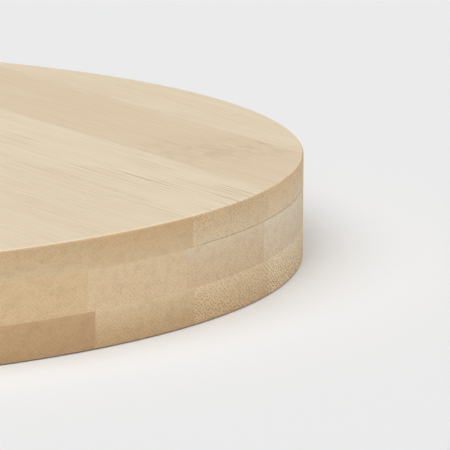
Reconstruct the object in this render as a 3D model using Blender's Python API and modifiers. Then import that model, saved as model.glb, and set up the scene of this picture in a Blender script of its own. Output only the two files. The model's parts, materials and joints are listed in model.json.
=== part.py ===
"""A low lazy susan turntable: a platter of three bamboo plies that spins on a ring bearing let in from below.

Metres, +Z up. The origin is on the spin axis, on the surface that the rubber feet stand on.
The platter and the outer race turn together, the ball cage follows at about half their speed, and the
inner race stands still on its feet.
"""

import math

import bmesh
import bpy
from mathutils import Matrix

# Platter: three bamboo boards glued flat on each other
PLATTER_DIAMETER = 0.254
TOP_PLY = 0.0055
CORE_PLY = 0.0070
BOTTOM_PLY = 0.0065
UPPER_ARRIS = 0.0006  # rounding of the platter's upper rim
LOWER_ARRIS = 0.0003
PLATTER_CLEARANCE = 0.00025  # platter's underside above the table
RECESS_MARGIN = 0.0015  # room round the bearing in the platter's recess
RECESS_ARRIS = 0.0004

# Ring bearing
BEARING_DIAMETER = 0.154
BALL_DIAMETER = 0.0050
BALL_COUNT = 24
BALL_CLEARANCE = 0.00025  # between a ball and its groove or its pocket
RACE_LIP = 0.00115  # metal above and below the ball groove
RACE_SLOT = 0.0024  # open slot between the two races
RACE_STAGGER = 0.0007  # the outer race sits this much higher than the inner one
RACE_CHAMFER = 0.0004  # on the races' lower edges
SLEEVE_WALL = 0.0022  # sleeve of the lower inner race, which the upper one is pressed onto
CAGE_CLEARANCE = 0.00035  # between the cage and either race
CAGE_WEB = 0.0010  # cage above the top of its pockets
CAGE_PRONG = 0.0013  # how far the prongs reach below the balls' centres

# Countersunk screws that hold the outer race in the recess
SCREW_COUNT = 6
SCREW_RADIUS = 0.0015
SCREW_HEAD_RADIUS = 0.0030
SCREW_HEAD_RIM = 0.0002  # straight edge of the head
SCREW_TIP = 0.0030
SCREW_COVER = 0.0026  # wood left above the tips
SCREW_SINK = 0.0001  # head's face above the race's underside
SCREW_EDGE_LAND = 0.0003  # metal left beside the countersink
DRIVE_WIDTH = 0.0008  # cross recess in the head
DRIVE_SPAN = 0.0034
DRIVE_DEPTH = 0.0013

# Rubber feet pushed into the lower inner race
FOOT_COUNT = 6
FOOT_HEIGHT = 0.0013  # part of the foot below the race
FOOT_STEM_RADIUS = 0.0017
FOOT_STEM_LENGTH = 0.0026
FOOT_LIP = 0.0018  # how far the head reaches past the stem
FOOT_ROUNDING = 0.0005
FOOT_WALL = 0.0016  # metal left beside the foot's hole

SEAT_GAP = 0.0003  # between pieces that rest on, or are glued or pressed to, each other
CUT_PAST = 0.0010  # how far a cutter runs past the face it opens

PLATTER_SEGMENTS = 96
RING_SEGMENTS = 60
POCKET_SEGMENTS = 12
BALL_SEGMENTS = 10
BALL_RINGS = 6
SMALL_SEGMENTS = 12  # screws, feet and their holes
ARC_STEPS = 3  # straight runs along half a ball groove
ROUND_STEPS = 2  # straight runs along an edge rounding
SHARP_ANGLE = math.radians(35)
MERGE = 0.00001

# Radii, worked outwards to inwards from the bearing's outside
PLATTER_RADIUS = PLATTER_DIAMETER / 2
OUTER_RACE_RADIUS = BEARING_DIAMETER / 2
BALL_RADIUS = BALL_DIAMETER / 2
GROOVE_RADIUS = BALL_RADIUS + BALL_CLEARANCE
RECESS_RADIUS = OUTER_RACE_RADIUS + RECESS_MARGIN
SINK_RADIUS = SCREW_HEAD_RADIUS + SCREW_HEAD_RIM + SCREW_SINK + SEAT_GAP
SCREW_CIRCLE = OUTER_RACE_RADIUS - RACE_CHAMFER - SCREW_EDGE_LAND - SINK_RADIUS
PITCH_RADIUS = SCREW_CIRCLE - SINK_RADIUS - SCREW_EDGE_LAND - GROOVE_RADIUS
OUTER_LAND = PITCH_RADIUS + RACE_SLOT / 2
INNER_LAND = PITCH_RADIUS - RACE_SLOT / 2
FOOT_HOLE_RADIUS = FOOT_STEM_RADIUS + SEAT_GAP
FOOT_CIRCLE = PITCH_RADIUS - GROOVE_RADIUS - FOOT_WALL - FOOT_HOLE_RADIUS
BORE_RADIUS = FOOT_CIRCLE - FOOT_HOLE_RADIUS - FOOT_WALL
SLEEVE_RADIUS = BORE_RADIUS + SLEEVE_WALL

# Heights, worked upwards from the table
RACE_HEIGHT = 2 * (GROOVE_RADIUS + RACE_LIP)
INNER_BOTTOM = FOOT_HEIGHT + SEAT_GAP
INNER_TOP = INNER_BOTTOM + RACE_HEIGHT
OUTER_BOTTOM = INNER_BOTTOM + RACE_STAGGER
OUTER_TOP = OUTER_BOTTOM + RACE_HEIGHT
BALL_PLANE = (INNER_BOTTOM + OUTER_TOP) / 2
RECESS_CEILING = OUTER_TOP + SEAT_GAP
BOTTOM_PLY_TOP = PLATTER_CLEARANCE + BOTTOM_PLY
CORE_BOTTOM = BOTTOM_PLY_TOP + SEAT_GAP
CORE_TOP = CORE_BOTTOM + CORE_PLY
TOP_PLY_BOTTOM = CORE_TOP + SEAT_GAP
PLATTER_TOP = TOP_PLY_BOTTOM + TOP_PLY
SCREW_FACE = OUTER_BOTTOM + SCREW_SINK
SCREW_LENGTH = PLATTER_TOP - SCREW_COVER - SCREW_FACE


# Helpers


def start_scene():
    """Empties the scene and makes the collections for the parts and for their cutters."""
    for old in list(bpy.data.objects):
        bpy.data.objects.remove(old, do_unlink=True)
    made = []
    for name in ("lazy_susan", "cutters"):
        collection = bpy.data.collections.new(name)
        bpy.context.scene.collection.children.link(collection)
        made.append(collection)
    return made


def material(name, colour, roughness, metallic=0.0):
    """A plain Principled material."""
    made = bpy.data.materials.new(name)
    made.use_nodes = True
    shader = made.node_tree.nodes["Principled BSDF"]
    shader.inputs["Base Color"].default_value = (*colour, 1.0)
    shader.inputs["Roughness"].default_value = roughness
    shader.inputs["Metallic"].default_value = metallic
    return made


def axis_empty(name):
    """An empty on the spin axis, which the pieces of one moving body are parented to."""
    empty = bpy.data.objects.new(name, None)
    parts.objects.link(empty)
    return empty


def arc(centre_r, centre_z, radius, start, end, steps):
    """Points (r, z) along an arc, by angles in degrees from the outward direction."""
    angles = [math.radians(start + (end - start) * i / steps) for i in range(steps + 1)]
    return [(centre_r + radius * math.cos(a), centre_z + radius * math.sin(a)) for a in angles]


def mesh_object(name, bm, collection):
    """Turns a bmesh into a linked object."""
    mesh = bpy.data.meshes.new(name)
    bm.to_mesh(mesh)
    bm.free()
    obj = bpy.data.objects.new(name, mesh)
    collection.objects.link(obj)
    return obj


def turned(name, outline, segments, closed):
    """Turns an outline of (r, z) points about Z. A closed outline makes a ring, an open one starts and ends
    on the axis. It runs down its outer side."""
    bm = bmesh.new()
    points = [bm.verts.new((r, 0.0, z)) for r, z in outline]
    for first, second in zip(points, points[1:]):
        bm.edges.new((first, second))
    if closed:
        bm.edges.new((points[-1], points[0]))
    obj = mesh_object(name, bm, parts)
    screw = obj.modifiers.new("turn", "SCREW")
    screw.axis = "Z"
    screw.angle = math.tau
    screw.steps = segments
    screw.render_steps = segments
    screw.use_merge_vertices = True
    screw.merge_threshold = MERGE
    return obj


def cutter(name, bm):
    """A hidden object that is only cut away from others."""
    obj = mesh_object(name, bm, cutters)
    obj.hide_render = True
    obj.display_type = "WIRE"
    return obj


def cut(obj, tool):
    """Takes the tool's shape out of the object."""
    boolean = obj.modifiers.new(tool.name, "BOOLEAN")
    boolean.operation = "DIFFERENCE"
    boolean.solver = "EXACT"
    boolean.object = tool


def spaced(count):
    """The turn about Z of each of so many evenly spaced places."""
    return [Matrix.Rotation(math.tau * i / count, 4, "Z") for i in range(count)]


def pins(count, circle, low_radius, high_radius, low, high):
    """A bmesh of upright cones or cylinders, evenly spaced round a circle."""
    bm = bmesh.new()
    for turn in spaced(count):
        bmesh.ops.create_cone(
            bm,
            cap_ends=True,
            segments=SMALL_SEGMENTS,
            radius1=low_radius,
            radius2=high_radius,
            depth=high - low,
            matrix=turn @ Matrix.Translation((circle, 0, (low + high) / 2)),
        )
    return bm


def applied_mesh(obj):
    """The object's mesh with its modifiers applied, shaded smooth except at sharp edges."""
    bpy.context.view_layer.update()
    graph = bpy.context.evaluated_depsgraph_get()
    mesh = bpy.data.meshes.new_from_object(obj.evaluated_get(graph))
    mesh.shade_smooth()
    mesh.set_sharp_from_angle(angle=SHARP_ANGLE)
    return mesh


def finish(obj, look, body):
    """Applies the modifiers, gives the piece its material and parents it to its body."""
    obj.data = applied_mesh(obj)
    obj.modifiers.clear()
    obj.data.materials.append(look)
    obj.parent = body
    return obj


def copies(name, pattern, count, circle, height, look, body):
    """Places numbered copies of the pattern round a circle, sharing its mesh, and removes the pattern."""
    mesh = applied_mesh(pattern)
    mesh.name = name
    mesh.materials.append(look)
    bpy.data.objects.remove(pattern)
    digits = len(str(count))
    for number, turn in enumerate(spaced(count), start=1):
        piece = bpy.data.objects.new(f"{name}_{number:0{digits}d}", mesh)
        piece.matrix_world = turn @ Matrix.Translation((circle, 0, height))
        piece.parent = body
        parts.objects.link(piece)


# Platter


def pilot_holes():
    """Blind holes for the screws, from the recess up to just past their tips."""
    tip = SCREW_FACE + SCREW_LENGTH + SEAT_GAP
    radius = SCREW_RADIUS + SEAT_GAP
    return cutter(
        "pilot_holes",
        pins(SCREW_COUNT, SCREW_CIRCLE, radius, radius, RECESS_CEILING - CUT_PAST, tip),
    )


def top_ply(pilots):
    """Whole disc with a rounded upper rim."""
    rim = arc(PLATTER_RADIUS - UPPER_ARRIS, PLATTER_TOP - UPPER_ARRIS, UPPER_ARRIS, 90, 0, ROUND_STEPS)
    outline = [(0, PLATTER_TOP), *rim, (PLATTER_RADIUS, TOP_PLY_BOTTOM), (0, TOP_PLY_BOTTOM)]
    ply = turned("platter_top_ply", outline, PLATTER_SEGMENTS, closed=False)
    cut(ply, pilots)
    finish(ply, bamboo, platter_body)


def core_ply(pilots):
    """Disc with the recess's upper part sunk into its underside."""
    outline = [
        (0, CORE_TOP),
        (PLATTER_RADIUS, CORE_TOP),
        (PLATTER_RADIUS, CORE_BOTTOM),
        (RECESS_RADIUS, CORE_BOTTOM),
        (RECESS_RADIUS, RECESS_CEILING),
        (0, RECESS_CEILING),
    ]
    ply = turned("platter_core_ply", outline, PLATTER_SEGMENTS, closed=False)
    cut(ply, pilots)
    finish(ply, bamboo, platter_body)


def bottom_ply():
    """Ring round the recess, with a rounded lower rim and a broken edge at the recess."""
    rim = arc(
        PLATTER_RADIUS - LOWER_ARRIS, PLATTER_CLEARANCE + LOWER_ARRIS, LOWER_ARRIS, 0, -90, ROUND_STEPS
    )
    outline = [
        (PLATTER_RADIUS, BOTTOM_PLY_TOP),
        *rim,
        (RECESS_RADIUS + RECESS_ARRIS, PLATTER_CLEARANCE),
        (RECESS_RADIUS, PLATTER_CLEARANCE + RECESS_ARRIS),
        (RECESS_RADIUS, BOTTOM_PLY_TOP),
    ]
    finish(turned("platter_bottom_ply", outline, PLATTER_SEGMENTS, closed=True), bamboo, platter_body)


# Bearing


def groove_angle():
    """Angle, up from the outward direction, at which the outer ball groove meets its land, in degrees."""
    return math.degrees(math.acos(RACE_SLOT / 2 / GROOVE_RADIUS))


def outer_race():
    """Ring with half the ball groove in its bore and a countersunk hole for each screw. Its lower edges show,
    so they are broken."""
    steepest = groove_angle()
    groove = arc(PITCH_RADIUS, BALL_PLANE, GROOVE_RADIUS, -steepest, steepest, 2 * ARC_STEPS)
    outline = [
        (OUTER_RACE_RADIUS, OUTER_TOP),
        (OUTER_RACE_RADIUS, OUTER_BOTTOM + RACE_CHAMFER),
        (OUTER_RACE_RADIUS - RACE_CHAMFER, OUTER_BOTTOM),
        (OUTER_LAND + RACE_CHAMFER, OUTER_BOTTOM),
        (OUTER_LAND, OUTER_BOTTOM + RACE_CHAMFER),
        *groove,
        (OUTER_LAND, OUTER_TOP),
    ]
    race = turned("outer_race", outline, RING_SEGMENTS, closed=True)
    hole = SCREW_RADIUS + SEAT_GAP
    shanks = pins(SCREW_COUNT, SCREW_CIRCLE, hole, hole, OUTER_BOTTOM - CUT_PAST, OUTER_TOP + CUT_PAST)
    cut(race, cutter("screw_holes", shanks))
    sink_top = SCREW_FACE + SCREW_HEAD_RADIUS - SCREW_RADIUS + SCREW_HEAD_RIM
    flare = sink_top - OUTER_BOTTOM + CUT_PAST
    sinks = pins(SCREW_COUNT, SCREW_CIRCLE, hole + flare, hole, OUTER_BOTTOM - CUT_PAST, sink_top)
    cut(race, cutter("countersinks", sinks))
    finish(race, aluminium, platter_body)


def inner_race_lower():
    """Lower half of the inner race, with the sleeve that carries the upper half."""
    shoulder = BALL_PLANE - SEAT_GAP / 2
    steepest = groove_angle()
    groove = arc(PITCH_RADIUS, BALL_PLANE, GROOVE_RADIUS, 180, 180 + steepest, ARC_STEPS)
    outline = [
        (PITCH_RADIUS - GROOVE_RADIUS, shoulder),
        *groove[1:],
        (INNER_LAND, INNER_BOTTOM + RACE_CHAMFER),
        (INNER_LAND - RACE_CHAMFER, INNER_BOTTOM),
        (BORE_RADIUS + RACE_CHAMFER, INNER_BOTTOM),
        (BORE_RADIUS, INNER_BOTTOM + RACE_CHAMFER),
        (BORE_RADIUS, INNER_TOP),
        (SLEEVE_RADIUS, INNER_TOP),
        (SLEEVE_RADIUS, shoulder),
    ]
    race = turned("inner_race_lower", outline, RING_SEGMENTS, closed=True)
    hole_top = INNER_BOTTOM + FOOT_STEM_LENGTH + SEAT_GAP
    holes = pins(
        FOOT_COUNT, FOOT_CIRCLE, FOOT_HOLE_RADIUS, FOOT_HOLE_RADIUS, INNER_BOTTOM - CUT_PAST, hole_top
    )
    cut(race, cutter("foot_holes", holes))
    finish(race, aluminium, base_body)


def inner_race_upper():
    """Upper half of the inner race, pressed over the lower half's sleeve to close the ball groove."""
    seat = BALL_PLANE + SEAT_GAP / 2
    bore = SLEEVE_RADIUS + SEAT_GAP
    steepest = groove_angle()
    groove = arc(PITCH_RADIUS, BALL_PLANE, GROOVE_RADIUS, 180 - steepest, 180, ARC_STEPS)
    outline = [
        (INNER_LAND, INNER_TOP),
        *groove[:-1],
        (PITCH_RADIUS - GROOVE_RADIUS, seat),
        (bore, seat),
        (bore, INNER_TOP),
    ]
    finish(turned("inner_race_upper", outline, RING_SEGMENTS, closed=True), aluminium, base_body)


def ball_cage():
    """Crown cage: a ring above the balls whose prongs reach down between them and snap round each one."""
    inside = INNER_LAND + CAGE_CLEARANCE
    outside = OUTER_LAND - CAGE_CLEARANCE
    top = BALL_PLANE + GROOVE_RADIUS + CAGE_WEB
    bottom = BALL_PLANE - CAGE_PRONG
    outline = [(outside, top), (outside, bottom), (inside, bottom), (inside, top)]
    cage = turned("ball_cage", outline, RING_SEGMENTS, closed=True)
    pockets = bmesh.new()
    place = Matrix.Translation((PITCH_RADIUS, 0, BALL_PLANE)) @ Matrix.Rotation(math.pi / 2, 4, "Y")
    for turn in spaced(BALL_COUNT):
        bmesh.ops.create_cone(
            pockets,
            cap_ends=True,
            segments=POCKET_SEGMENTS,
            radius1=GROOVE_RADIUS,
            radius2=GROOVE_RADIUS,
            depth=RACE_SLOT + 2 * CUT_PAST,
            matrix=turn @ place,
        )
    cut(cage, cutter("ball_pockets", pockets))
    finish(cage, nylon, cage_body)


def balls():
    """Steel balls on the pitch circle, one in each pocket."""
    bm = bmesh.new()
    bmesh.ops.create_uvsphere(bm, u_segments=BALL_SEGMENTS, v_segments=BALL_RINGS, radius=BALL_RADIUS)
    pattern = mesh_object("ball_pattern", bm, parts)
    copies("ball", pattern, BALL_COUNT, PITCH_RADIUS, BALL_PLANE, bright_steel, cage_body)


# Fasteners and feet


def drive_slots():
    """The two crossing slots of a screw's drive recess, at the origin and opening downwards."""
    slots = []
    for name, width, depth in (("slot_x", DRIVE_SPAN, DRIVE_WIDTH), ("slot_y", DRIVE_WIDTH, DRIVE_SPAN)):
        bm = bmesh.new()
        bmesh.ops.create_cube(bm, size=1.0, matrix=Matrix.Diagonal((width, depth, 2 * DRIVE_DEPTH, 1)))
        slots.append(cutter(name, bm))
    return slots


def screws():
    """Countersunk wood screws, point up, driven from below through the outer race."""
    cone_top = SCREW_HEAD_RIM + SCREW_HEAD_RADIUS - SCREW_RADIUS
    outline = [
        (0, SCREW_LENGTH),
        (SCREW_RADIUS, SCREW_LENGTH - SCREW_TIP),
        (SCREW_RADIUS, cone_top),
        (SCREW_HEAD_RADIUS, SCREW_HEAD_RIM),
        (SCREW_HEAD_RADIUS, 0),
        (0, 0),
    ]
    pattern = turned("screw_pattern", outline, SMALL_SEGMENTS, closed=False)
    for slot in drive_slots():
        cut(pattern, slot)
    copies("race_screw", pattern, SCREW_COUNT, SCREW_CIRCLE, SCREW_FACE, bright_steel, platter_body)


def feet():
    """Rubber feet: a flat head under the inner race and a stem pushed up into it."""
    head = FOOT_STEM_RADIUS + FOOT_LIP
    stem_top = INNER_BOTTOM + FOOT_STEM_LENGTH
    stem_end = arc(FOOT_STEM_RADIUS - FOOT_ROUNDING, stem_top - FOOT_ROUNDING, FOOT_ROUNDING, 90, 0, 1)
    sole = arc(head - FOOT_ROUNDING, FOOT_ROUNDING, FOOT_ROUNDING, 0, -90, ROUND_STEPS)
    outline = [
        (0, stem_top),
        *stem_end,
        (FOOT_STEM_RADIUS, FOOT_HEIGHT),
        (head, FOOT_HEIGHT),
        *sole,
        (0, 0),
    ]
    pattern = turned("foot_pattern", outline, SMALL_SEGMENTS, closed=False)
    copies("foot", pattern, FOOT_COUNT, FOOT_CIRCLE, 0, rubber, base_body)


parts, cutters = start_scene()
bamboo = material("bamboo", (0.70, 0.56, 0.38), 0.45)
aluminium = material("aluminium", (0.78, 0.79, 0.80), 0.32, 1.0)
bright_steel = material("bright_steel", (0.72, 0.72, 0.73), 0.22, 1.0)
nylon = material("nylon", (0.86, 0.85, 0.80), 0.50)
rubber = material("rubber", (0.035, 0.035, 0.038), 0.75)

base_body = axis_empty("base_axis")
cage_body = axis_empty("cage_axis")
platter_body = axis_empty("platter_axis")

pilots = pilot_holes()
top_ply(pilots)
core_ply(pilots)
bottom_ply()
outer_race()
inner_race_lower()
inner_race_upper()
ball_cage()
balls()
screws()
feet()
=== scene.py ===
"""Looks of the lazy susan turntable: a sanded bamboo board over a bright ring bearing, on a pale floor.

Metres, +Z up. The platter's layers, the bearing, its screws and its feet are finely made pieces that
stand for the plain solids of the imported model. Every material is made of nodes in the piece's own
coordinates.
"""

import json
import math
import random
from collections import namedtuple

import bmesh
import bpy
from mathutils import Matrix, Vector


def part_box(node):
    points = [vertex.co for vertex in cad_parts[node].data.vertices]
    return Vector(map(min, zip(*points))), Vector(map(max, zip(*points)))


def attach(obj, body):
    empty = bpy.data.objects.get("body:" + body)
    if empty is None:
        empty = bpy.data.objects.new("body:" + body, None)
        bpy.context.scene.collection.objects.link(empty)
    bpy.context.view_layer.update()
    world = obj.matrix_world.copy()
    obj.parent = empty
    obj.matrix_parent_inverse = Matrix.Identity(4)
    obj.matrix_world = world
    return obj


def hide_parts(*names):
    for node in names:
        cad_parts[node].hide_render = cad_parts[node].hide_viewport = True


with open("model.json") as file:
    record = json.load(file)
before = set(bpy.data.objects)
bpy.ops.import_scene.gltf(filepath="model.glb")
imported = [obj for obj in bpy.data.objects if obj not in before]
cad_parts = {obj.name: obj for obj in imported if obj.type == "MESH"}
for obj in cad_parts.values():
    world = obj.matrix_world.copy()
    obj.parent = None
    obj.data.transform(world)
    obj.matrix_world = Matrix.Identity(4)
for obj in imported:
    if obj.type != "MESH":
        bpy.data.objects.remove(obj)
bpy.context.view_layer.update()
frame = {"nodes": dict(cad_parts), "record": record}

MM = 0.001

# Camera, in platter radii from the middle of the platter's top face
CAMERA_BACK = 7.422
CAMERA_UP = 1.250
CAMERA_YAW = math.radians(6.84)  # turned to the right of straight ahead
CAMERA_PITCH = math.radians(10.48)  # turned down
CAMERA_ROLL = math.radians(0.33)
CAMERA_LENS = 402.6  # mm
CAMERA_SENSOR = 36.0  # mm

# Light
ZENITH_SKY = 0.05
HORIZON_SKY = 0.35
HORIZON_TOP = math.sin(math.radians(26))  # where the pale walls end, as a height above the horizon
SKY_COLOUR = (0.97, 1.0, 1.04)
LIGHTS = {  # strength, colour, angle across, the direction it comes from
    "overhead_softbox": (1.80, (1.0, 0.99, 0.975), math.radians(72), Vector((-0.27, -0.20, 1.0))),
    "front_softbox": (1.56, (0.985, 1.0, 1.025), math.radians(60), Vector((0.04, -1.0, 0.80))),
    "right_fill": (0.52, (1.0, 0.99, 0.98), math.radians(50), Vector((1.0, -0.25, 0.45))),
}
FLOOR_COLOUR = (0.85, 0.85, 0.85)
FLOOR_DIMMEST = 0.995  # of its colour, in the paper grain
FLOOR_SIZE = 8.0

# Bamboo boards, in millimetres: edge-glued strips, all with their grain the same way
GRAIN_TURN = math.radians(23.3)  # from +X to the direction across the grain
STRIP_WIDTH = 25.1
NODE_SPAN = 240.0  # the stretch along the grain over which each strip has one node
BUNDLE_ACROSS = 1.10  # spacing of the fibre bundles across the board
BUNDLE_DEEP = 0.85  # and through its thickness
SWAY_SIZE = (16, 60)  # across and along the grain, of the fibres' slow wander sideways
SWAY_REACH = 1.6
DIP_SIZE = (9, 75)  # of their dips in and out of the face
DIP_REACH = 2.6
HAIR_SIZE = (0.30, 16)
BAND_SIZE = (1.5, 60)
CLOUD_SIZE = (9, 26)
MOTTLE_SIZE = (2.0, 5.0)
BLOTCH_SIZE = (2.4, 1.5)  # flat and through the thickness
NODE_REACH = 13.0  # how far a node's mottled patch spreads along the grain
SWIRL_REACH = 8.0  # and how far its fibres swirl
GLUE_HEIGHT = (0.08, 0.36)  # the glue under a board fades out between these heights above its seam
GLUE_SHOWS = (48.0, 66.0)  # and it fades in between these distances across the grain
TOP_GLUE = 0.62  # how dark it is under the top board
BAMBOO_RELIEF = 0.02 * MM

# How strongly each mark colours the bamboo
STREAK_MARK = 0.85
HAIR_MARK = 0.22
CLOUD_MARK = 0.22
KNOT_MARK = 0.30
GROUND_MARK = 0.25
SPECKLE_MARK = 0.16
BLOTCH_MARK = 0.13
JOINT_MARK = 0.38
# the arris mark is partly a painted highlight along the rounded top edge
ARRIS_TINT_AND_HIGHLIGHT_MARK = 0.25

# Shapes
RIM_SEGMENTS = 512
RACE_SEGMENTS = 288
HOLE_SEGMENTS = 48
POCKET_SEGMENTS = 40
FOOT_SEGMENTS = 64
ARRIS_STEPS = 6
EDGE_STEPS = 4
SMALL_EDGE_STEPS = 3
GROOVE_STEPS = 24  # along the outer race's groove, and half as many along each half of the inner one's
SHARP_ANGLE = 40  # degrees between two faces that are shaded apart
SUPPORT = 0.25 * MM  # how far in from the end of a flat face its extra ring lies
CUT_PAST = 1.0 * MM  # how far a hole's tool runs past the race
GLUE_GROOVE = 0.05 * MM
BALL_CLEARANCE = 0.25 * MM
EDGE_ROUNDING = 0.35 * MM
CAGE_EDGE = 0.2 * MM
POCKET_TOOL = 4.0 * MM  # length of the tool that cuts a ball's pocket through the cage

# Screws
HEAD_RIM = 0.2 * MM
SHANK_RADIUS = 1.5 * MM
HOLE_GAP = 0.3 * MM
SCREW_POINT = 3.0 * MM
SCREW_NECK = 0.6 * MM  # plain shank between the head and the thread
THREAD_PITCH = 1.1 * MM
THREAD_CORE = 1.05 * MM
THREAD_PROUD = 0.2 * MM  # its crest stands out past the plain shank by this
THREAD_HEIGHT = SHANK_RADIUS - THREAD_CORE + THREAD_PROUD
THREAD_WIDTH = 0.28  # half a ridge, as a share of the pitch
THREAD_FADE = 1.5  # the core thins over the whole point, and the ridge over its last 1 / 1.5
THREAD_RISE = 0.11 * MM  # between the rings of points that the thread is built from
SCREW_SEGMENTS = 32
SLOT_LENGTH = 3.4 * MM
SLOT_WIDTH = 0.8 * MM
SLOT_DEPTH = 1.3 * MM

# Feet
FOOT_STEM = 1.7 * MM
FOOT_HEIGHT = 1.3 * MM
FOOT_EDGE = 0.5 * MM
FOOT_UPPER_EDGE = 0.15 * MM
FOOT_GROOVE = 0.22 * MM  # radius of a grip groove
FOOT_GROOVES = (0.66, 0.36)  # where the grip grooves lie, as shares of the sole's radius
FOOT_TOP_STEPS = 5
FOOT_SHARP_ANGLE = 50


# Frame values


def radius_range(node):
    """The smallest and largest distance of a CAD node's vertices from the spin axis."""
    reach = [math.hypot(v.co.x, v.co.y) for v in frame["nodes"][node].data.vertices]
    return min(reach), max(reach)


def centre_of(node):
    low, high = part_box(node)
    return (low + high) / 2


def members(body, start):
    """The names of a body's nodes that start this way, in order."""
    return sorted(n for n in frame["record"]["behaviour"]["bodies"][body] if n.startswith(start))


# Node graphs


class Graph:
    """The nodes of a material or world. Each call adds one and returns its output.

    An input is another node's output, or a plain value.
    """

    def __init__(self, block):
        block.use_nodes = True
        self.block = block
        self.tree = block.node_tree

    def put(self, socket, value):
        if isinstance(value, bpy.types.NodeSocket):
            self.tree.links.new(value, socket)
        else:
            socket.default_value = value

    def node(self, kind, output, inputs, **settings):
        made = self.tree.nodes.new(kind)
        for key, value in settings.items():
            setattr(made, key, value)
        for key, value in inputs.items():
            self.put(made.inputs[key], value)
        return made.outputs[output]

    def math(self, operation, *values):
        return self.node("ShaderNodeMath", 0, dict(enumerate(values)), operation=operation)

    def add(self, a, b):
        return self.math("ADD", a, b)

    def times(self, a, b):
        return self.math("MULTIPLY", a, b)

    def fit(self, value, low, high, to_low=0.0, to_high=1.0, smooth=True):
        """The value taken from one range to another, held at its ends."""
        kind = "SMOOTHSTEP" if smooth else "LINEAR"
        inputs = {0: value, 1: low, 2: high, 3: to_low, 4: to_high}
        return self.node("ShaderNodeMapRange", 0, inputs, interpolation_type=kind)

    def combine(self, x, y, z):
        return self.node("ShaderNodeCombineXYZ", 0, {0: x, 1: y, 2: z})

    def separate(self, vector):
        made = self.tree.nodes.new("ShaderNodeSeparateXYZ")
        self.put(made.inputs[0], vector)
        return tuple(made.outputs)

    def place(self, kind="Object"):
        """A point's three coordinates of this kind, in the piece's own frame unless another is given."""
        return self.separate(self.tree.nodes.new("ShaderNodeTexCoord").outputs[kind])

    def noise(self, vector, detail=2.0, roughness=0.5):
        inputs = {"Vector": vector, "Scale": 1.0, "Detail": detail, "Roughness": roughness}
        return self.node("ShaderNodeTexNoise", 0, inputs)

    def spread(self, x, y, sizes, layer, detail=2.0, roughness=0.5):
        """Noise over two coordinates, with features of about these sizes. Each layer is another pattern."""
        stretched = (self.times(c, 1 / size) for c, size in zip((x, y), sizes))
        return self.noise(self.combine(*stretched, layer), detail, roughness)

    def grain(self, place, size, detail=2.0, roughness=0.5):
        """Noise through three coordinates, with features of about this size."""
        return self.noise(self.combine(*(self.times(c, 1 / size) for c in place)), detail, roughness)

    def cells(self, x, y, randomness):
        """Distance to the nearest point of a flat scattered lattice, one unit apart."""
        inputs = {"Vector": self.combine(x, y, 0.0), "Scale": 1.0, "Randomness": randomness}
        return self.node("ShaderNodeTexVoronoi", "Distance", inputs, voronoi_dimensions="2D")

    def hump(self, value, reach):
        """1 where the value is 0, falling smoothly to nothing on both sides over a few times its reach."""
        return self.math("EXPONENT", self.times(self.math("POWER", self.times(value, 1 / reach), 2.0), -1.0))

    def chance(self, value, seed):
        """A random number from 0 to 1 that is the same wherever the value is."""
        inputs = {"Vector": self.combine(value, seed, 0.0)}
        return self.node("ShaderNodeTexWhiteNoise", "Value", inputs, noise_dimensions="2D")

    def mix(self, factor, a, b):
        """The colour a where the factor is 0, and b where it is 1."""
        made = self.tree.nodes.new("ShaderNodeMix")
        made.data_type = "RGBA"
        self.put(made.inputs[0], factor)
        self.put(made.inputs[6], a)
        self.put(made.inputs[7], b)
        return made.outputs[2]

    def steps(self, factor, colours):
        """A ramp of even flat steps, one for each colour."""
        made = self.tree.nodes.new("ShaderNodeValToRGB")
        ramp = made.color_ramp
        ramp.interpolation = "CONSTANT"
        ramp.elements[0].color = (*colours[0], 1)
        ramp.elements.remove(ramp.elements[1])
        for number, colour in enumerate(colours[1:], start=1):
            ramp.elements.new(number / len(colours)).color = (*colour, 1)
        self.put(made.inputs[0], factor)
        return made.outputs[0]

    def bump(self, height, distance):
        inputs = {"Height": height, "Distance": distance, "Strength": 1.0}
        return self.node("ShaderNodeBump", 0, inputs)

    def surface(self, **values):
        """Sets the shader's inputs, by name with spaces as underscores, and returns the material."""
        shader = self.tree.nodes["Principled BSDF"]
        for key, value in values.items():
            self.put(shader.inputs[key.replace("_", " ")], value)
        return self.block


def new_material(name):
    return Graph(bpy.data.materials.new(name))


def linear(red, green, blue):
    """A colour given in everyday 0 to 255 values, as the linear numbers that shaders use."""
    shares = (c / 255 for c in (red, green, blue))
    return tuple(c / 12.92 if c <= 0.04045 else ((c + 0.055) / 1.055) ** 2.4 for c in shares)


def opaque(colour):
    return (*colour, 1.0)


# Bamboo


# Five strips from the first joint rightwards, and then over again. Lightness and streaks are of the face,
# dots of the end grain; node is where along NODE_SPAN the node lies, knot is how strongly it shows, and the
# last two are the end grain's colours at its open and its dense side
Strip = namedtuple("Strip", "lightness streaks dots node knot open_end dense_end")
TOP_STRIPS = [
    Strip(0.62, 0.40, 0.16, 0.90, 0.3, (207, 183, 146), (195, 165, 126)),
    Strip(0.60, 0.40, 0.14, 0.12, 0.2, (206, 181, 144), (197, 164, 122)),
    Strip(0.72, 0.80, 0.31, 0.88, 0.2, (214, 193, 160), (205, 175, 133)),
    Strip(0.28, 0.30, 0.24, 0.27, 1.0, (220, 198, 164), (216, 184, 139)),
    Strip(0.58, 0.30, 0.22, 0.60, 0.2, (217, 195, 161), (211, 181, 139)),
]
CORE_STRIPS = [
    Strip(0.55, 0.40, 0.16, 0.40, 0.3, (209, 180, 139), (208, 179, 138)),
    Strip(0.50, 0.35, 0.16, 0.10, 0.3, (213, 187, 150), (212, 185, 148)),
    Strip(0.45, 0.45, 0.24, 0.50, 0.3, (214, 194, 163), (206, 177, 140)),
    Strip(0.50, 0.35, 0.24, 0.25, 0.3, (222, 206, 178), (214, 190, 157)),
    Strip(0.50, 0.40, 0.22, 0.70, 0.3, (213, 190, 156), (207, 182, 146)),
]
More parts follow.
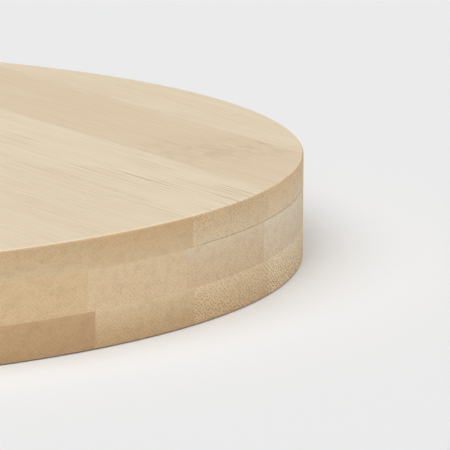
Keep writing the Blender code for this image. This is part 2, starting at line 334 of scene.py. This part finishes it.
BOTTOM_STRIPS = [
    Strip(0.40, 0.55, 0.16, 0.90, 0.3, (189, 156, 116), (175, 142, 102)),
    Strip(0.60, 0.50, 0.24, 0.45, 0.3, (214, 191, 153), (183, 150, 108)),
    Strip(0.50, 0.80, 0.60, 0.15, 0.3, (220, 196, 157), (194, 160, 117)),
    Strip(0.50, 1.00, 0.85, 0.70, 0.3, (230, 210, 174), (214, 183, 138)),
    Strip(0.50, 0.80, 0.50, 0.30, 0.3, (212, 188, 152), (192, 162, 124)),
]
FACE_DARK = linear(229, 206, 176)
FACE_LIGHT = linear(247, 233, 205)
STREAK_COLOUR = linear(186, 154, 112)
BUNDLE_COLOUR = linear(118, 82, 46)
GROUND_COLOUR = linear(228, 208, 174)
KNOT_COLOUR = linear(186, 158, 118)
# warmer end grain of the eased arris, mixed with a painted highlight of the light it catches
ARRIS_TINT_AND_HIGHLIGHT = linear(206, 166, 118)
GLUE_COLOUR = linear(124, 100, 74)


def board_axes(g):
    """Distances across the grain, along it and up, in mm, then how far a face looks along it and up."""
    coordinates = g.tree.nodes.new("ShaderNodeTexCoord").outputs
    place, normal = (
        g.separate(
            g.node(
                "ShaderNodeVectorRotate",
                0,
                {"Vector": coordinates[kind], "Angle": -GRAIN_TURN},
                rotation_type="Z_AXIS",
            )
        )
        for kind in ("Object", "Normal")
    )
    distances = tuple(g.times(part, 1 / MM) for part in place)
    return (*distances, g.math("ABSOLUTE", normal[1]), g.math("ABSOLUTE", normal[2]))


def bamboo(name, seed, joint, strips, low, high, dense, glue):
    """A board of bamboo strips, in mm.

    The first joint is at this distance across the grain. Low and high are the board's faces, dense is the
    height of its closer-grained side, and glue is how dark the glue under it shows.
    """
    g = new_material(name)
    across, along, up, end_on, flat_on = board_axes(g)
    end_grain = g.fit(end_on, 0.15, 0.75)
    face = g.fit(flat_on, 0.50, 0.95)

    # Strips
    place = g.times(g.add(across, -joint), 1 / STRIP_WIDTH)
    strip = g.math("FLOOR", place)
    share = g.math("FRACT", place)
    row = g.math("FRACT", g.times(g.add(strip, 0.5), 1 / len(strips)))
    lightness, streaks, dots = g.separate(g.steps(row, [(s.lightness, s.streaks, s.dots) for s in strips]))
    node, knot, _ = g.separate(g.steps(row, [(s.node, s.knot, 0.0) for s in strips]))
    open_end = g.steps(row, [linear(*s.open_end) for s in strips])
    dense_end = g.steps(row, [linear(*s.dense_end) for s in strips])
    luck = g.chance(strip, seed)
    shift = g.times(luck, 50.0)

    # Fibres wander, dip in and out of the sanded faces, and swirl about the nodes
    from_node = g.add(along, g.times(g.add(node, -0.5), -NODE_SPAN))
    swirl = g.add(g.noise(g.combine(g.times(across, 0.45), g.times(along, 0.12), shift)), -0.5)
    swirl = g.times(g.times(swirl, g.hump(from_node, SWIRL_REACH)), g.add(g.times(knot, 2.4), 0.6))
    sway = g.spread(across, along, SWAY_SIZE, shift, 1.0)
    dip = g.spread(across, along, DIP_SIZE, g.add(shift, 9.0), 1.0)
    aside = g.add(g.add(across, g.times(sway, SWAY_REACH)), swirl)
    deep = g.add(g.add(up, g.times(dip, DIP_REACH)), swirl)

    # Fibre bundles: staggered rows, thicker and closer towards the dense side
    density = g.fit(g.math("ABSOLUTE", g.add(up, -dense)), 0.0, high - low, 1.0, 0.0, smooth=False)
    rise = g.times(deep, 1 / BUNDLE_DEEP)
    side = g.times(aside, 1 / BUNDLE_ACROSS)
    nearest = g.cells(g.add(g.add(rise, side), shift), g.math("SUBTRACT", rise, side), 0.62)
    widest = g.fit(g.times(streaks, face), 0.0, 1.0, 0.32, 0.42, smooth=False)
    reach = g.fit(density, 0.0, 1.0, 0.20, widest, smooth=False)
    bundles = g.fit(g.math("DIVIDE", nearest, reach), 0.55, 1.05, 1.0, 0.0)

    # Fine fibre, slow bands and clouds
    thin, long = HAIR_SIZE
    fibre = g.combine(g.times(aside, 1 / thin), g.times(deep, 1 / thin), g.times(along, 1 / long))
    hair = g.noise(fibre, 3.0, 0.6)
    bands = g.spread(aside, along, BAND_SIZE, shift, 3.0, 0.6)
    cloud = g.spread(across, along, CLOUD_SIZE, shift)
    speckle = g.noise(g.combine(g.times(across, 2.2), g.times(along, 2.2), g.times(up, 2.2)), 3.0, 0.65)

    # Colour of the long-grain faces
    pale = g.add(lightness, g.times(g.add(bands, -0.5), 0.8))
    face_colour = g.mix(pale, opaque(FACE_DARK), opaque(FACE_LIGHT))
    chosen = g.times(g.fit(cloud, 0.35, 0.65, 0.2, 1.0), g.fit(bands, 0.42, 0.62, 0.15, 1.0))
    grouped = g.times(g.times(bundles, streaks), chosen)
    face_colour = g.mix(g.times(grouped, STREAK_MARK), face_colour, opaque(STREAK_COLOUR))
    face_colour = g.mix(g.fit(hair, 0.40, 0.80, 0.0, HAIR_MARK), face_colour, opaque(STREAK_COLOUR))
    face_colour = g.mix(g.fit(cloud, 0.50, 0.85, 0.0, CLOUD_MARK), face_colour, opaque(FACE_DARK))
    mottle = g.spread(aside, along, MOTTLE_SIZE, shift, 3.0, 0.6)
    patch = g.times(g.hump(from_node, NODE_REACH), g.times(knot, g.fit(mottle, 0.36, 0.66)))
    face_colour = g.mix(g.times(patch, KNOT_MARK), face_colour, opaque(KNOT_COLOUR))

    # Colour of the end grain
    rim_colour = g.mix(g.math("POWER", density, 0.65), open_end, dense_end)
    rim_colour = g.mix(g.times(dots, GROUND_MARK), rim_colour, opaque(GROUND_COLOUR))
    pores = g.times(g.times(bundles, dots), g.fit(end_grain, 0.0, 1.0, 0.50, 1.0))
    rim_colour = g.mix(pores, rim_colour, opaque(BUNDLE_COLOUR))
    rim_colour = g.mix(g.fit(speckle, 0.45, 0.85, 0.0, SPECKLE_MARK), rim_colour, opaque(BUNDLE_COLOUR))
    flat, thick = BLOTCH_SIZE
    patches = g.combine(g.times(across, 1 / flat), g.times(along, 1 / flat), g.times(up, 1 / thick))
    blotch = g.noise(patches, 3.0, 0.6)
    rim_colour = g.mix(g.fit(blotch, 0.42, 0.72, 0.0, BLOTCH_MARK), rim_colour, opaque(BUNDLE_COLOUR))
    colour = g.mix(face, rim_colour, face_colour)

    # Glue joints between the strips, and under the board
    from_joint = g.times(g.math("SUBTRACT", 0.5, g.math("ABSOLUTE", g.add(share, -0.5))), STRIP_WIDTH)
    patchy = g.noise(g.combine(g.times(along, 1 / 9), strip, g.times(up, 0.6)), 2.0)
    gap = g.times(g.fit(from_joint, 0.06, 0.20, 1.0, 0.0), g.fit(patchy, 0.35, 0.70, 0.0, JOINT_MARK))
    colour = g.mix(gap, colour, opaque(STREAK_COLOUR))
    seam = g.times(g.fit(g.add(up, -low), *GLUE_HEIGHT, 1.0, 0.0), g.fit(across, *GLUE_SHOWS, 0.0, glue))
    seam = g.times(g.times(seam, g.math("SUBTRACT", 1.0, face)), g.fit(speckle, 0.40, 0.60, 0.35, 1.0))
    colour = g.mix(seam, colour, opaque(GLUE_COLOUR))

    # The eased arris is tinted warmer: partly its own end grain, partly a painted highlight where the
    # rounded edge catches the light
    arris = g.times(g.fit(flat_on, 0.10, 0.30), g.fit(flat_on, 0.75, 0.97, 1.0, 0.0))
    colour = g.mix(g.times(arris, ARRIS_TINT_AND_HIGHLIGHT_MARK), colour, opaque(ARRIS_TINT_AND_HIGHLIGHT))

    relief = g.add(g.times(bundles, -0.5), g.times(hair, 0.6))
    return g.surface(
        Base_Color=colour,
        Roughness=g.fit(g.add(hair, g.times(bundles, 0.3)), 0.3, 0.9, 0.46, 0.62),
        Normal=g.bump(relief, BAMBOO_RELIEF),
        Specular_IOR_Level=0.28,
    )


# Metals, nylon and rubber


def turned_aluminium():
    """Clear anodised aluminium with fine turning marks round the spin axis."""
    g = new_material("turned_aluminium")
    x, y, z = g.place()
    reach = g.math("SQRT", g.add(g.times(x, x), g.times(y, y)))
    mark = 0.09 * MM
    rings = g.noise(g.combine(g.times(reach, 1 / mark), g.times(z, 1 / mark), 0.0), 3.0, 0.65)
    cloud = g.grain((x, y, z), 1 / 60, 3.0)
    colour = g.mix(g.fit(cloud, 0.3, 0.7), opaque((0.74, 0.75, 0.76)), opaque((0.82, 0.83, 0.84)))
    colour = g.mix(g.fit(rings, 0.5, 0.8, 0.0, 0.25), colour, opaque((0.60, 0.61, 0.63)))
    return g.surface(
        Base_Color=colour,
        Metallic=1.0,
        Roughness=g.fit(g.add(rings, g.times(cloud, 0.4)), 0.4, 1.0, 0.26, 0.42),
        Normal=g.bump(rings, 0.006 * MM),
    )


def zinc_steel():
    """Bright zinc plate, a little blue and blotchy."""
    g = new_material("zinc_steel")
    place = g.place()
    fine = g.grain(place, 0.25 * MM, 3.0, 0.6)
    cloud = g.grain(place, 2.5 * MM)
    colour = g.mix(g.fit(cloud, 0.3, 0.7), opaque((0.62, 0.64, 0.68)), opaque((0.74, 0.74, 0.72)))
    return g.surface(
        Base_Color=colour,
        Metallic=1.0,
        Roughness=g.fit(fine, 0.3, 0.7, 0.22, 0.38),
        Normal=g.bump(fine, 0.008 * MM),
    )


def ball_steel():
    """Ground and polished chrome steel with the finest haze."""
    g = new_material("ball_steel")
    place = g.place()
    haze = g.grain(place, 0.6 * MM, 3.0, 0.6)
    colour = g.mix(g.fit(haze, 0.3, 0.7), opaque((0.70, 0.70, 0.71)), opaque((0.78, 0.78, 0.78)))
    return g.surface(Base_Color=colour, Metallic=1.0, Roughness=g.fit(haze, 0.3, 0.8, 0.06, 0.16))


def nylon():
    """Natural moulded nylon, slightly waxy."""
    g = new_material("natural_nylon")
    place = g.place()
    grain = g.grain(place, 0.15 * MM, 2.0, 0.6)
    cloud = g.grain(place, 5 * MM)
    colour = g.mix(g.fit(cloud, 0.3, 0.7), opaque((0.80, 0.78, 0.70)), opaque((0.86, 0.85, 0.79)))
    return g.surface(
        Base_Color=colour,
        Roughness=g.fit(grain, 0.3, 0.7, 0.42, 0.55),
        Normal=g.bump(grain, 0.006 * MM),
        Subsurface_Weight=0.1,
        Subsurface_Radius=(1.5 * MM, 1.3 * MM, 1.0 * MM),
    )


def rubber():
    """Moulded black rubber with a fine matt grain and a little dust."""
    g = new_material("moulded_rubber")
    place = g.place()
    grain = g.grain(place, 0.12 * MM, 3.0, 0.7)
    dust = g.grain(place, 1.8 * MM, 3.0, 0.6)
    black, dusty = opaque((0.020, 0.020, 0.022)), opaque((0.060, 0.058, 0.055))
    colour = g.mix(g.fit(dust, 0.5, 0.8, 0.0, 0.5), black, dusty)
    return g.surface(
        Base_Color=colour,
        Roughness=g.fit(grain, 0.3, 0.7, 0.62, 0.80),
        Normal=g.bump(grain, 0.010 * MM),
    )


# Shapes


def arc(centre_r, centre_z, radius, start, end, steps):
    """Points (r, z) along an arc, by angles in degrees from the outward direction."""
    angles = [math.radians(start + (end - start) * i / steps) for i in range(steps + 1)]
    return [(centre_r + radius * math.cos(a), centre_z + radius * math.sin(a)) for a in angles]


def angles_of(segments):
    """The angles of evenly spaced points round a circle."""
    return [math.tau * i / segments for i in range(segments)]


def smooth(mesh, sharp):
    mesh.shade_smooth()
    mesh.set_sharp_from_angle(angle=math.radians(sharp))


def link(name, bm, sharp=SHARP_ANGLE):
    """Turns a bmesh into a smooth-shaded object in the scene."""
    bmesh.ops.recalc_face_normals(bm, faces=bm.faces)
    mesh = bpy.data.meshes.new(name)
    bm.to_mesh(mesh)
    bm.free()
    smooth(mesh, sharp)
    piece = bpy.data.objects.new(name, mesh)
    bpy.context.scene.collection.objects.link(piece)
    return piece


def supported(outline, closed):
    """The outline with a point just inside each end of its long runs, which keeps their shading flat."""
    points = []
    ends = outline[1:] + outline[:1] if closed else outline[1:]
    for start, end in zip(outline, ends):
        points.append(start)
        run = math.dist(start, end)
        if run > 3 * SUPPORT:
            for share in (SUPPORT / run, 1 - SUPPORT / run):
                points.append(tuple(a + (b - a) * share for a, b in zip(start, end)))
    return points if closed else [*points, outline[-1]]


def turned_bmesh(outline, segments):
    """An outline of (r, z) points turned about Z. One that doesn't start on the axis closes into a ring.

    A point on the axis is one vertex, so the faces beside it are triangles.
    """
    bm = bmesh.new()
    rows = []
    for r, z in supported(outline, outline[0][0] > 0):
        count = segments if r > 0 else 1
        rows.append([bm.verts.new((r * math.cos(a), r * math.sin(a), z)) for a in angles_of(count)])
    if outline[0][0] > 0:
        rows.append(rows[0])
    for first, second in zip(rows, rows[1:]):
        for i in range(segments):
            j = (i + 1) % segments
            corners = [row[k % len(row)] for row, k in ((first, i), (first, j), (second, j), (second, i))]
            bm.faces.new(dict.fromkeys(corners))
    return bm


def cut(piece, tools):
    """Takes the tool objects' shapes out of the piece, and removes them."""
    for tool in tools:
        boolean = piece.modifiers.new("cut", "BOOLEAN")
        boolean.object = tool
        boolean.solver = "EXACT"
    bpy.context.view_layer.update()
    shape = piece.evaluated_get(bpy.context.evaluated_depsgraph_get())
    mesh = bpy.data.meshes.new_from_object(shape)
    piece.modifiers.clear()
    piece.data = mesh
    smooth(mesh, SHARP_ANGLE)
    for tool in tools:
        bpy.data.objects.remove(tool)
    return piece


def turn_of(number, count):
    """The turn that takes the first of evenly spaced places to this one, counting from 1."""
    return Matrix.Rotation(math.tau * (number - 1) / count, 4, "Z")


def around(count):
    return [turn_of(number, count) for number in range(1, count + 1)]


def tapers(count, circle, low_radius, high_radius, low, high):
    """One object of upright cones or cylinders, evenly spaced round a circle."""
    bm = bmesh.new()
    for turn in around(count):
        bmesh.ops.create_cone(
            bm,
            cap_ends=True,
            segments=HOLE_SEGMENTS,
            radius1=low_radius,
            radius2=high_radius,
            depth=high - low,
            matrix=turn @ Matrix.Translation((circle, 0, (low + high) / 2)),
        )
    return link("tool", bm)


def finish(piece, material, slot, body, *nodes):
    """Gives a piece its material and lets it stand for its CAD nodes on their body; the slot argument is not
    used.
    """
    piece.data.materials.clear()
    piece.data.materials.append(material)
    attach(piece, body)
    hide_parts(*nodes)


# Platter


TOP_LOW, TOP_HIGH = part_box("platter_top_ply")
CORE_LOW, CORE_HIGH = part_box("platter_core_ply")
BOTTOM_LOW, BOTTOM_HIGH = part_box("platter_bottom_ply")
PLATTER_RADIUS = TOP_HIGH.x
RECESS_RADIUS = radius_range("platter_bottom_ply")[0]
RECESS_CEILING = min(
    v.co.z for v in frame["nodes"]["platter_core_ply"].data.vertices if v.co.xy.length < RECESS_RADIUS / 2
)
UPPER_SEAM = (TOP_LOW.z + CORE_HIGH.z) / 2
LOWER_SEAM = (CORE_LOW.z + BOTTOM_HIGH.z) / 2
UPPER_ARRIS = 0.55 * MM
LOWER_ARRIS = 0.30 * MM


def top_board():
    """The top layer, with its upper rim eased by sanding."""
    r, groove = PLATTER_RADIUS, GLUE_GROOVE
    outline = [
        (0, TOP_HIGH.z),
        *arc(r - UPPER_ARRIS, TOP_HIGH.z - UPPER_ARRIS, UPPER_ARRIS, 90, 0, ARRIS_STEPS),
        (r, UPPER_SEAM + groove),
        (r - groove, UPPER_SEAM),
        (0, UPPER_SEAM),
    ]
    return link("top_board", turned_bmesh(outline, RIM_SEGMENTS))


def core_board():
    """The middle layer, with the upper part of the bearing's recess in its underside."""
    r, groove = PLATTER_RADIUS, GLUE_GROOVE
    outline = [
        (0, UPPER_SEAM),
        (r - groove, UPPER_SEAM),
        (r, UPPER_SEAM - groove),
        (r, LOWER_SEAM + groove),
        (r - groove, LOWER_SEAM),
        (RECESS_RADIUS, LOWER_SEAM),
        (RECESS_RADIUS, RECESS_CEILING),
        (0, RECESS_CEILING),
    ]
    return link("core_board", turned_bmesh(outline, RIM_SEGMENTS))


def bottom_board():
    """The bottom layer: a ring round the recess, eased at both of its lower edges."""
    r, groove, edge = PLATTER_RADIUS, GLUE_GROOVE, EDGE_ROUNDING
    low = BOTTOM_LOW.z
    outline = [
        (RECESS_RADIUS, LOWER_SEAM),
        (r - groove, LOWER_SEAM),
        (r, LOWER_SEAM - groove),
        *arc(r - LOWER_ARRIS, low + LOWER_ARRIS, LOWER_ARRIS, 0, -90, ARRIS_STEPS),
        *arc(RECESS_RADIUS + edge, low + edge, edge, 270, 180, EDGE_STEPS),
    ]
    return link("bottom_board", turned_bmesh(outline, RIM_SEGMENTS))


def make_platter():
    low, lower, upper, high = (z / MM for z in (BOTTOM_LOW.z, LOWER_SEAM, UPPER_SEAM, TOP_HIGH.z))
    for layer, board, seed, joint, strips, faces, dense, glue in (
        ("top", top_board, 1.0, 7.4, TOP_STRIPS, (upper, high), high, TOP_GLUE),
        ("core", core_board, 2.0, 6.0, CORE_STRIPS, (lower, upper), lower, 0.0),
        ("bottom", bottom_board, 3.0, 7.9, BOTTOM_STRIPS, (low, lower), low, 0.0),
    ):
        material = bamboo(f"bamboo_{layer}", seed, joint, strips, *faces, dense, glue)
        finish(board(), material, "bamboo", "platter", f"platter_{layer}_ply")


# Bearing


BALLS = members("cage", "ball_")
BALLS.remove("ball_cage")
SCREWS = members("platter", "race_screw")
FEET = members("base", "foot")
BALL_CENTRE = centre_of("ball_01")
BALL_RADIUS = (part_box("ball_01")[1].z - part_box("ball_01")[0].z) / 2
PITCH = BALL_CENTRE.x
GROOVE = BALL_RADIUS + BALL_CLEARANCE
SCREW_CIRCLE = centre_of(SCREWS[0]).x
SCREW_LOW, SCREW_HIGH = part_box(SCREWS[0])
FOOT_CIRCLE = centre_of(FEET[0]).x


def groove_angle(land):
    """Angle from the outward direction at which a groove meets a land at this radius, in degrees."""
    return math.degrees(math.acos(min(1.0, abs(land - PITCH) / GROOVE)))


HEAD_RADIUS = (SCREW_HIGH.x - SCREW_LOW.x) / 2
HEAD_HEIGHT = HEAD_RIM + HEAD_RADIUS - SHANK_RADIUS


def outer_ring():
    """Outer race: groove in its bore, rounded lower edges and countersunk screw holes."""
    low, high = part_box("outer_race")
    land, outside = radius_range("outer_race")
    edge = EDGE_ROUNDING
    steep = groove_angle(land)
    outline = [
        (outside, high.z),
        *arc(outside - edge, low.z + edge, edge, 0, -90, EDGE_STEPS),
        *arc(land + edge, low.z + edge, edge, 270, 180, EDGE_STEPS),
        *arc(PITCH, BALL_CENTRE.z, GROOVE, -steep, steep, GROOVE_STEPS),
        (land, high.z),
    ]
    ring = link("outer_ring", turned_bmesh(outline, RACE_SEGMENTS))
    hole = SHANK_RADIUS + HOLE_GAP
    sink_top = SCREW_LOW.z + HEAD_HEIGHT
    flare = hole + sink_top - low.z + CUT_PAST
    count = len(SCREWS)
    shanks = tapers(count, SCREW_CIRCLE, hole, hole, low.z - CUT_PAST, high.z + CUT_PAST)
    sinks = tapers(count, SCREW_CIRCLE, flare, hole, low.z - CUT_PAST, sink_top)
    return cut(ring, [shanks, sinks])


def race_land(node):
    """The radius of a race's land beside the slot."""
    nearest, furthest = radius_range(node)
    return nearest if nearest > PITCH else furthest


def inner_ring_lower():
    """Lower half of the inner race: half a groove, a sleeve for the upper half and holes for the feet."""
    low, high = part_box("inner_race_lower")
    bore, _ = radius_range("inner_race_lower")
    land, edge = race_land("inner_race_lower"), EDGE_ROUNDING
    upper_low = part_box("inner_race_upper")[0].z
    shoulder = 2 * BALL_CENTRE.z - upper_low
    sleeve = radius_range("inner_race_upper")[0] - HOLE_GAP
    steep = groove_angle(land)
    outline = [
        (PITCH - GROOVE, shoulder),
        *arc(PITCH, BALL_CENTRE.z, GROOVE, 180, 180 + steep, GROOVE_STEPS // 2)[1:],
        *arc(land - edge, low.z + edge, edge, 0, -90, EDGE_STEPS),
        *arc(bore + edge, low.z + edge, edge, 270, 180, EDGE_STEPS),
        *arc(bore + edge, high.z - edge, edge, 180, 90, EDGE_STEPS),
        (sleeve, high.z),
        (sleeve, shoulder),
    ]
    ring = link("inner_ring_lower", turned_bmesh(outline, RACE_SEGMENTS))
    hole = FOOT_STEM + HOLE_GAP
    foot_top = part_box(FEET[0])[1].z + HOLE_GAP
    return cut(ring, [tapers(len(FEET), FOOT_CIRCLE, hole, hole, low.z - CUT_PAST, foot_top)])


def inner_ring_upper():
    """Upper half of the inner race, a plain ring with the other half of the groove."""
    low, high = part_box("inner_race_upper")
    bore, _ = radius_range("inner_race_upper")
    land = race_land("inner_race_upper")
    steep = groove_angle(land)
    outline = [
        (land, high.z),
        *arc(PITCH, BALL_CENTRE.z, GROOVE, 180 - steep, 180, GROOVE_STEPS // 2)[:-1],
        (PITCH - GROOVE, low.z),
        (bore, low.z),
        (bore, high.z),
    ]
    return link("inner_ring_upper", turned_bmesh(outline, RACE_SEGMENTS))


def crown_cage():
    """The cage: a thin ring with a round pocket for each ball, its edges softened by the mould."""
    low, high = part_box("ball_cage")
    inside, outside = radius_range("ball_cage")
    edge, steps = CAGE_EDGE, SMALL_EDGE_STEPS
    outline = [
        *arc(outside - edge, high.z - edge, edge, 90, 0, steps),
        *arc(outside - edge, low.z + edge, edge, 0, -90, steps),
        *arc(inside + edge, low.z + edge, edge, 270, 180, steps),
        *arc(inside + edge, high.z - edge, edge, 180, 90, steps),
    ]
    cage = link("crown_cage", turned_bmesh(outline, RACE_SEGMENTS))
    bm = bmesh.new()
    place = Matrix.Translation(BALL_CENTRE) @ Matrix.Rotation(math.pi / 2, 4, "Y")
    for turn in around(len(BALLS)):
        bmesh.ops.create_cone(
            bm,
            cap_ends=True,
            segments=POCKET_SEGMENTS,
            radius1=GROOVE,
            radius2=GROOVE,
            depth=POCKET_TOOL,
            matrix=turn @ place,
        )
    return cut(cage, [link("tool", bm)])


def ball(number):
    """A steel ball. Every edge of it is shaded smooth."""
    bm = bmesh.new()
    bmesh.ops.create_icosphere(bm, subdivisions=4, radius=BALL_RADIUS)
    piece = link(f"steel_ball_{number:02d}", bm, sharp=180)
    piece.location = turn_of(number, len(BALLS)) @ BALL_CENTRE
    return piece


def thread_radius(z, angle, length):
    """How far out the screw's surface is at this height and angle: a core with one ridge wound round it."""
    taper = min(1.0, (length - z) / SCREW_POINT)
    turn = (z / THREAD_PITCH - angle / math.tau) % 1.0
    ridge = max(0.0, 1.0 - abs(turn - 0.5) / THREAD_WIDTH)
    return THREAD_CORE * taper + THREAD_HEIGHT * ridge * min(1.0, taper * THREAD_FADE)


def screw_bmesh():
    """The screw without its cross recess, head down, with its face at z = 0."""
    length = SCREW_HIGH.z - SCREW_LOW.z
    plain = HEAD_HEIGHT + SCREW_NECK
    heads = [(HEAD_RADIUS, 0.0), (HEAD_RADIUS, HEAD_RIM), (SHANK_RADIUS, HEAD_HEIGHT)]
    angles = angles_of(SCREW_SEGMENTS)
    rings = [(z, [r] * SCREW_SEGMENTS) for r, z in heads]
    steps = int((length - plain) / THREAD_RISE)
    for i in range(steps):
        z = plain + (length - plain) * i / steps
        rings.append((z, [thread_radius(z, a, length) for a in angles]))
    bm = bmesh.new()
    rows = []
    for z, reach in rings:
        rows.append([bm.verts.new((r * math.cos(a), r * math.sin(a), z)) for r, a in zip(reach, angles)])
    for lower, upper in zip(rows, rows[1:]):
        for i in range(SCREW_SEGMENTS):
            j = (i + 1) % SCREW_SEGMENTS
            bm.faces.new((lower[i], lower[j], upper[j], upper[i]))
    bm.faces.new(list(reversed(rows[0])))
    bm.faces.new(rows[-1])
    return bm


def screw(number):
    """Countersunk wood screw with a cross recess, a rolled thread and a gimlet point."""
    piece = link(f"wood_screw_{number}", screw_bmesh())
    slots = []
    for width, depth in ((SLOT_LENGTH, SLOT_WIDTH), (SLOT_WIDTH, SLOT_LENGTH)):
        slot = bmesh.new()
        bmesh.ops.create_cube(slot, size=1.0, matrix=Matrix.Diagonal((width, depth, 2 * SLOT_DEPTH, 1)))
        slots.append(link("tool", slot))
    cut(piece, slots)
    spin = Matrix.Rotation(random.Random(number).uniform(0, math.pi), 4, "Z")
    stand = Matrix.Translation((SCREW_CIRCLE, 0, SCREW_LOW.z))
    piece.matrix_world = turn_of(number, len(SCREWS)) @ stand @ spin
    return piece


def rubber_foot(number):
    """A round foot with a rounded sole, two grip grooves and a stem up into the race."""
    low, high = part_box(FEET[0])
    radius = (high.x - low.x) / 2
    edge, upper_edge = FOOT_EDGE, FOOT_UPPER_EDGE
    outline = [
        (0, high.z),
        *arc(FOOT_STEM - edge, high.z - edge, edge, 90, 0, FOOT_TOP_STEPS),
        (FOOT_STEM, FOOT_HEIGHT),
        *arc(radius - upper_edge, FOOT_HEIGHT - upper_edge, upper_edge, 90, 0, SMALL_EDGE_STEPS),
        *arc(radius - edge, edge, edge, 0, -90, ARRIS_STEPS),
    ]
    for share in FOOT_GROOVES:
        outline += arc(radius * share, 0.0, FOOT_GROOVE, 0, 180, ARRIS_STEPS)
    outline.append((0, 0))
    piece = link(f"rubber_foot_{number}", turned_bmesh(outline, FOOT_SEGMENTS), sharp=FOOT_SHARP_ANGLE)
    piece.matrix_world = turn_of(number, len(FEET)) @ Matrix.Translation((FOOT_CIRCLE, 0, 0))
    return piece


def make_bearing():
    """The rings, cage, balls, screws and feet, each standing for its CAD node."""
    aluminium = turned_aluminium()
    finish(outer_ring(), aluminium, "aluminium", "platter", "outer_race")
    finish(inner_ring_lower(), aluminium, "aluminium", "base", "inner_race_lower")
    finish(inner_ring_upper(), aluminium, "aluminium", "base", "inner_race_upper")
    finish(crown_cage(), nylon(), "nylon", "cage", "ball_cage")
    for make, nodes, material, slot, body in (
        (ball, BALLS, ball_steel(), "ball_steel", "cage"),
        (screw, SCREWS, zinc_steel(), "screw_steel", "platter"),
        (rubber_foot, FEET, rubber(), "rubber", "base"),
    ):
        for number, node in enumerate(nodes, start=1):
            finish(make(number), material, slot, body, node)


# Studio


def make_camera():
    """The camera stands in front of the platter and looks to its right part through a long lens."""
    data = bpy.data.cameras.new("camera")
    data.lens = CAMERA_LENS
    data.sensor_width = CAMERA_SENSOR
    camera = bpy.data.objects.new("camera", data)
    bpy.context.scene.collection.objects.link(camera)
    place = Vector((0, -CAMERA_BACK * PLATTER_RADIUS, TOP_HIGH.z + CAMERA_UP * PLATTER_RADIUS))
    camera.matrix_world = (
        Matrix.Translation(place)
        @ Matrix.Rotation(-CAMERA_YAW, 4, "Z")
        @ Matrix.Rotation(math.pi / 2 - CAMERA_PITCH, 4, "X")
        @ Matrix.Rotation(CAMERA_ROLL, 4, "Z")
    )
    bpy.context.scene.camera = camera


def make_floor():
    """A plain pale floor with the faintest paper grain."""
    bm = bmesh.new()
    bmesh.ops.create_grid(bm, x_segments=8, y_segments=8, size=FLOOR_SIZE / 2)
    floor = link("floor", bm)
    g = new_material("pale_floor")
    place = g.place()
    grain = g.grain(place, 3 * MM)
    dim = tuple(FLOOR_DIMMEST * c for c in FLOOR_COLOUR)
    colour = g.mix(grain, opaque(dim), opaque(FLOOR_COLOUR))
    floor.data.materials.append(g.surface(Base_Color=colour, Roughness=0.9, Specular_IOR_Level=0.0))


def make_sky():
    """Dark overhead and pale near the horizon, like a studio with white walls."""
    g = Graph(bpy.data.worlds.new("studio"))
    height = g.place("Generated")[2]
    background = g.tree.nodes["Background"]
    background.inputs["Color"].default_value = opaque(SKY_COLOUR)
    g.put(background.inputs["Strength"], g.fit(height, 0.0, HORIZON_TOP, HORIZON_SKY, ZENITH_SKY))
    bpy.context.scene.world = g.block


def make_light():
    """Two very large soft sources, overhead and behind the camera, and a weak one at the right."""
    for name, (strength, colour, size, direction) in LIGHTS.items():
        data = bpy.data.lights.new(name, "SUN")
        data.energy = strength
        data.color = colour
        data.angle = size
        source = bpy.data.objects.new(name, data)
        source.rotation_mode = "QUATERNION"
        source.rotation_quaternion = direction.to_track_quat("Z", "Y")
        bpy.context.scene.collection.objects.link(source)
    view = bpy.context.scene.view_settings
    view.view_transform = "Standard"
    view.look = "None"


make_camera()
make_floor()
make_sky()
make_light()
make_platter()
make_bearing()
